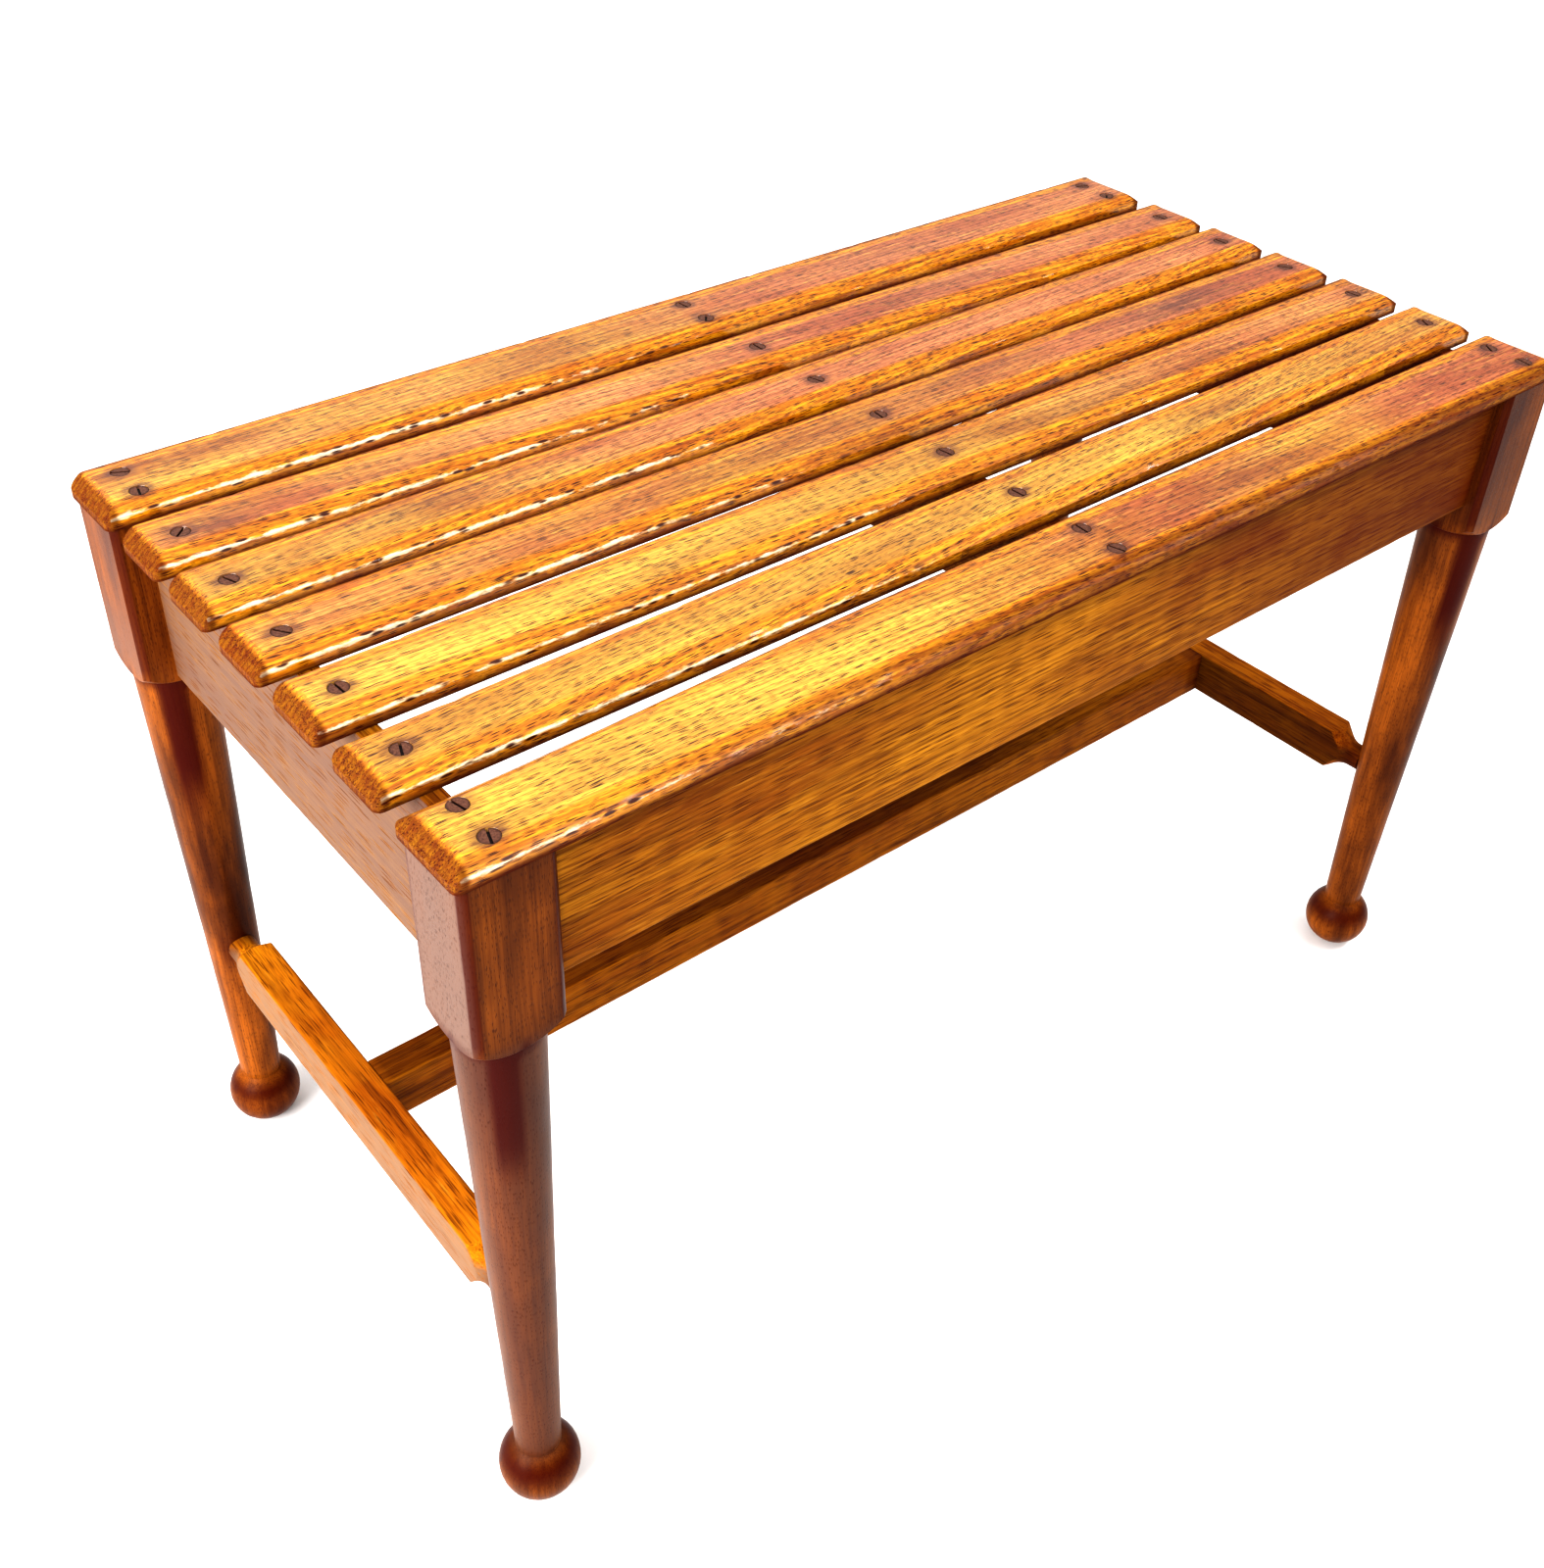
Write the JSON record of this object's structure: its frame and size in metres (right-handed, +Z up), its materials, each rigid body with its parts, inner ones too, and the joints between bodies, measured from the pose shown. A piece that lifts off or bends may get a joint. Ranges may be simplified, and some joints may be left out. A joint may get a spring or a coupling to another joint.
{
  "type": "entryway bench",
  "caption": "Slatted wooden hall bench on turned tapered legs with ball feet, deep aprons and an H stretcher; slats held by countersunk slotted screws.",
  "frame": {"origin": "on the floor under the middle of the seat", "axes": "+X along the bench, -Y towards the front, +Z up"},
  "size_m": [0.746, 0.373, 0.467],
  "materials": {
    "seat_oak": "worn golden oak, old polish",
    "apron_oak": "golden brown oak, satin",
    "leg_beech": "red-brown stained, polished",
    "stretcher_oak": "golden brown oak, satin",
    "screw_steel": "dull, darkened with age"
  },
  "bodies": {
    "root": {"front_slat": "seat_oak", "front_slat_screws": "screw_steel", "slat_2": "seat_oak", "slat_2_screws": "screw_steel", "slat_3": "seat_oak", "slat_3_screws": "screw_steel", "slat_4": "seat_oak", "slat_4_screws": "screw_steel", "slat_5": "seat_oak", "slat_5_screws": "screw_steel", "slat_6": "seat_oak", "slat_6_screws": "screw_steel", "back_slat": "seat_oak", "back_slat_screws": "screw_steel", "front_apron": "apron_oak", "back_apron": "apron_oak", "left_end_apron": "apron_oak", "right_end_apron": "apron_oak", "cross_rail": "apron_oak", "front_left_leg": "leg_beech", "front_right_leg": "leg_beech", "back_left_leg": "leg_beech", "back_right_leg": "leg_beech", "left_end_stretcher": "stretcher_oak", "right_end_stretcher": "stretcher_oak", "medial_stretcher": "stretcher_oak"}
  },
  "joints": []
}
